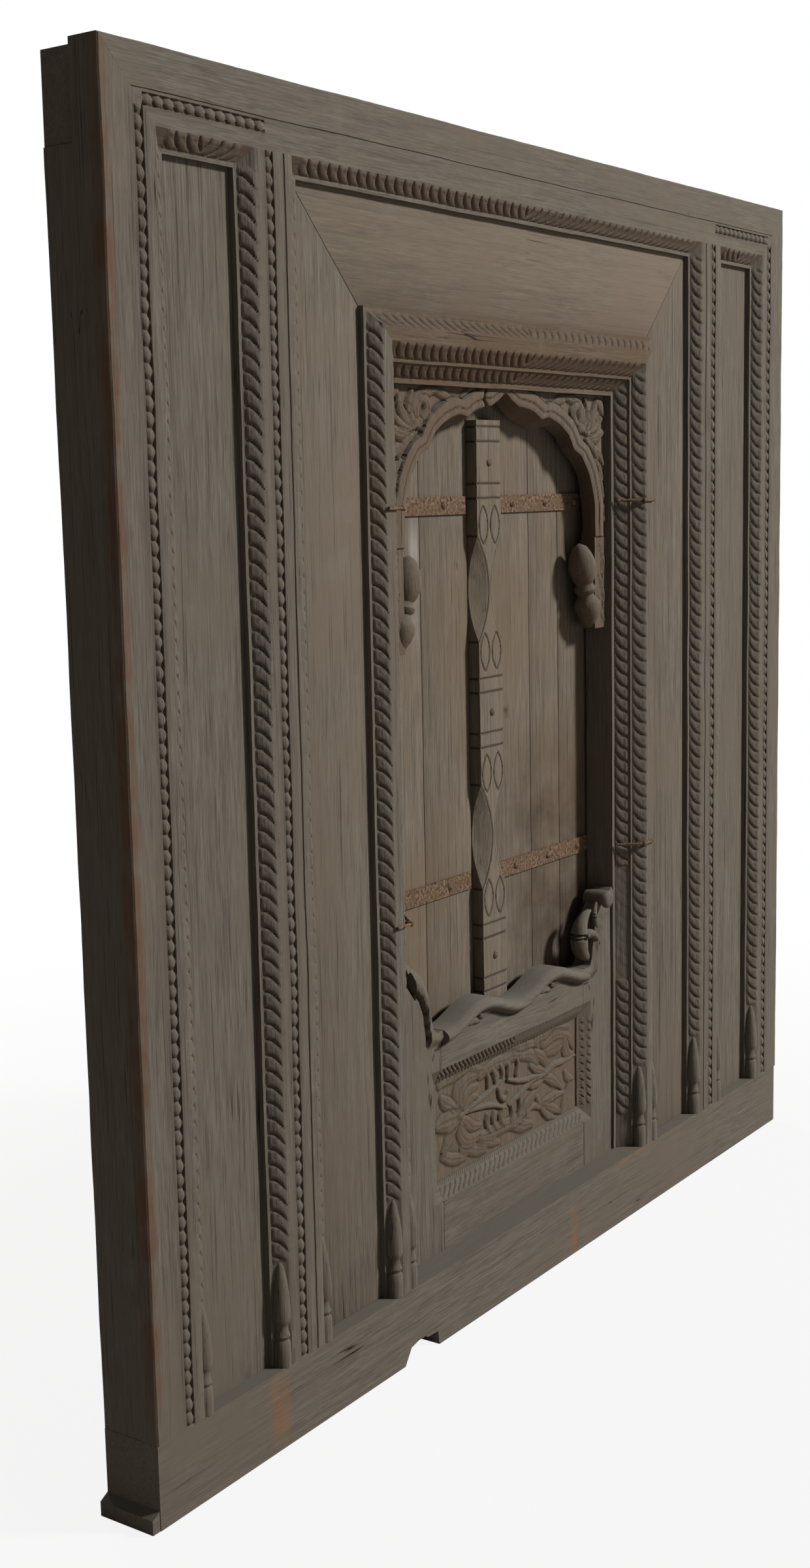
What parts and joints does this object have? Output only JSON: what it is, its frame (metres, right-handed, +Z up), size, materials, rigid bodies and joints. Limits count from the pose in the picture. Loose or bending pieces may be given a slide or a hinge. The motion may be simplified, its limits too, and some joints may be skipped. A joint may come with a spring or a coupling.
{
  "type": "jharokha window",
  "caption": "Carved wooden jharokha window with roped mouldings, cusped arch, carved parapet and hinged plank leaves.",
  "frame": {"origin": "middle of the sill's underside, half way through the frame's depth", "axes": "+X to the right seen from the carved front, +Y from the front to the back, +Z up"},
  "size_m": [1.908, 0.1482, 1.83],
  "materials": {
    "frame_wood": "weathered, bare, dusty",
    "leaf_wood": "weathered, bare",
    "iron": "rusted, forged"
  },
  "bodies": {
    "frame": {"left_post": "frame_wood", "right_post": "frame_wood", "top_rail": "frame_wood", "sill": "frame_wood", "left_upright": "frame_wood", "right_upright": "frame_wood", "left_bay_panel": "frame_wood", "right_bay_panel": "frame_wood", "surround_left_board": "frame_wood", "surround_top_board": "frame_wood", "surround_right_board": "frame_wood", "window_left_jamb": "frame_wood", "window_right_jamb": "frame_wood", "window_head": "frame_wood", "arch_left_spandrel": "frame_wood", "arch_right_spandrel": "frame_wood", "parapet_left_stile": "frame_wood", "parapet_right_stile": "frame_wood", "parapet_top_rail": "frame_wood", "parapet_bottom_rail": "frame_wood", "parapet_carved_panel": "frame_wood", "hinge_pins": "iron"},
    "left_leaf": {"left_leaf_outer_plank": "leaf_wood", "left_leaf_inner_plank": "leaf_wood", "left_leaf_upper_ledge": "leaf_wood", "left_leaf_lower_ledge": "leaf_wood", "left_upper_strap": "iron", "left_lower_strap": "iron", "left_strap_nails": "iron"},
    "right_leaf": {"right_leaf_inner_plank": "leaf_wood", "right_leaf_middle_plank": "leaf_wood", "right_leaf_outer_plank": "leaf_wood", "right_leaf_upper_ledge": "leaf_wood", "right_leaf_lower_ledge": "leaf_wood", "right_upper_strap": "iron", "right_lower_strap": "iron", "right_strap_nails": "iron", "astragal": "leaf_wood", "astragal_nails": "iron"}
  },
  "joints": [
    {"name": "left_leaf_hinge", "type": "hinge", "parent": "frame", "child": "left_leaf", "pos_m": [-0.365, 0.057, 0.9805], "axis": [0, 0, 1], "range_deg": [0, 100]},
    {"name": "right_leaf_hinge", "type": "hinge", "parent": "frame", "child": "right_leaf", "pos_m": [0.365, 0.057, 0.9805], "axis": [0, 0, -1], "range_deg": [0, 100]}
  ]
}
